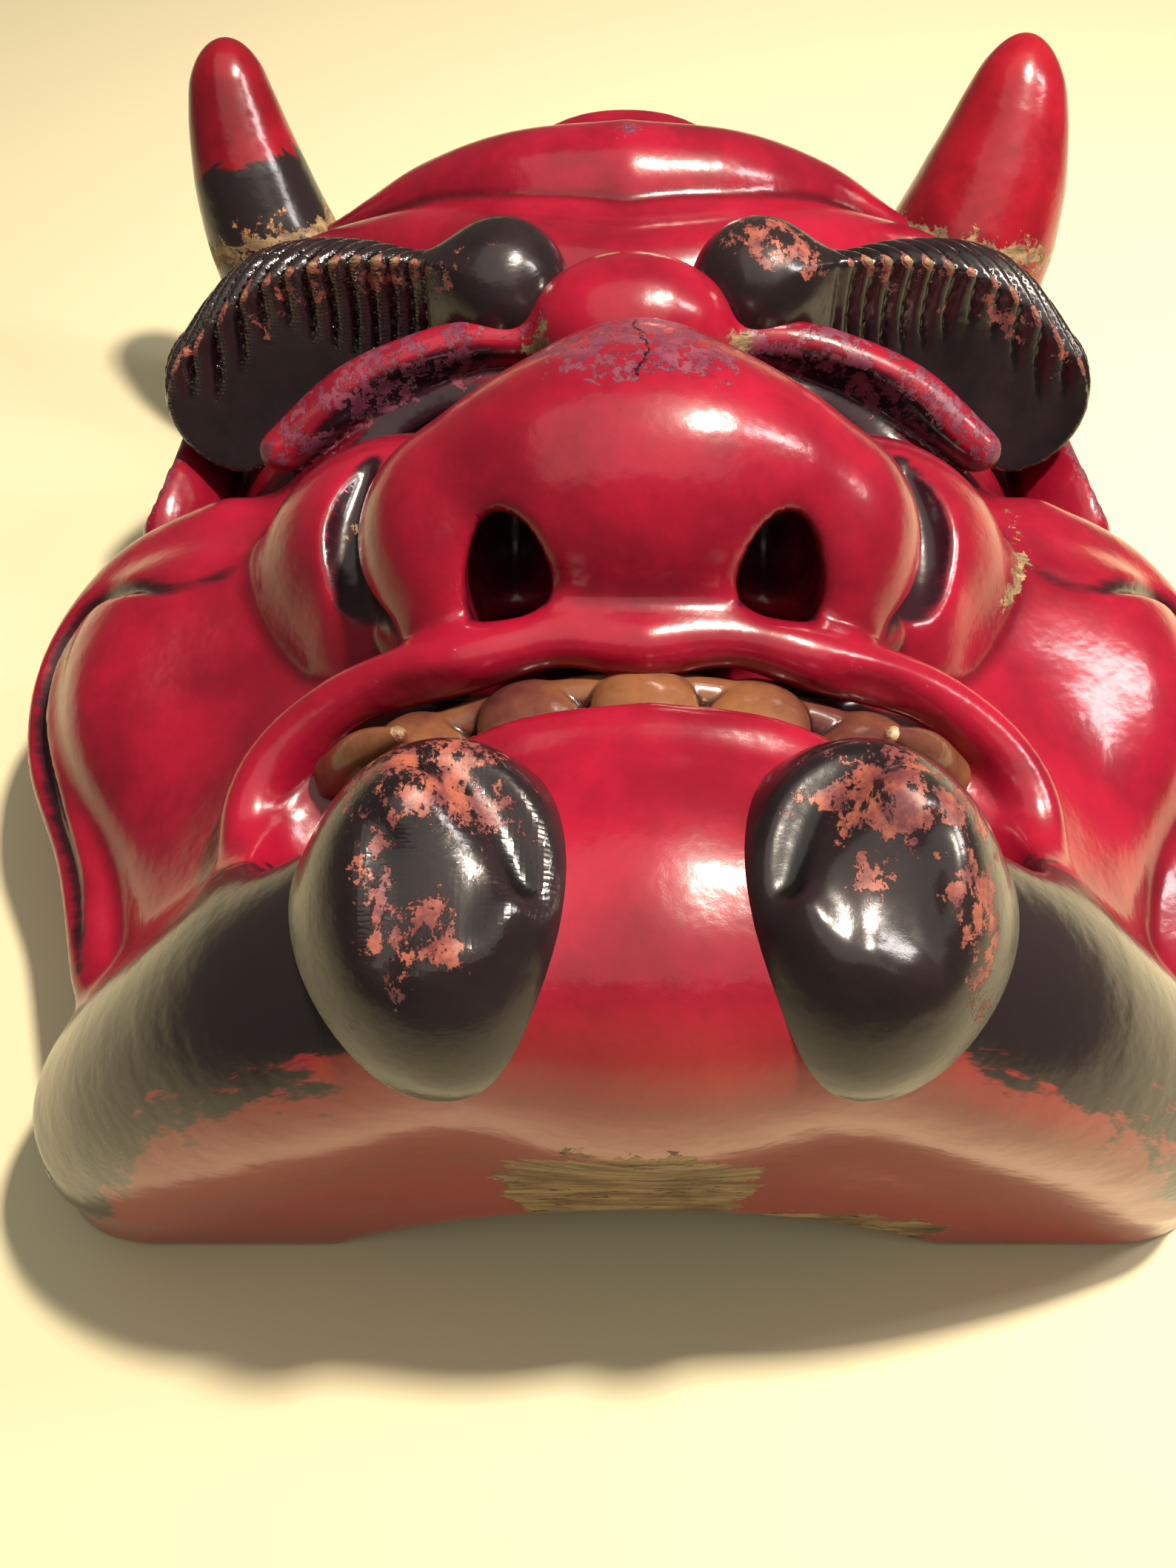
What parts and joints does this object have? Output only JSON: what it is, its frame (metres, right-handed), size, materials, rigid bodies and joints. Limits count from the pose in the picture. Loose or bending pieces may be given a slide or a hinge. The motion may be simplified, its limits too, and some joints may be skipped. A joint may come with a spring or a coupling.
{
  "type": "oni mask",
  "caption": "Carved and lacquered wooden demon mask with horns, thick brows, a broad nose, bared teeth and curled chin tufts, hollow behind with a flat back rim.",
  "frame": {"origin": "middle of the bounding box's underside, in the plane of the flat back rim", "axes": "+Z out of the face, +Y from the chin to the horns, +X to the right as one looks at the face"},
  "size_m": [0.2564, 0.2748, 0.1222],
  "materials": {
    "red_lacquer": "glossy worn red lacquer over wood",
    "dark_red_lacquer": "glossy worn dark red lacquer over wood",
    "black_lacquer": "glossy worn black lacquer over wood",
    "old_gilt": "worn gilding over wood"
  },
  "bodies": {
    "root": {"face_shell": "red_lacquer", "brow_left": "black_lacquer", "brow_right": "black_lacquer", "chin_tuft_left": "black_lacquer", "chin_tuft_right": "black_lacquer", "horn_left": "dark_red_lacquer", "horn_right": "dark_red_lacquer", "tooth_row": "old_gilt"}
  },
  "joints": []
}
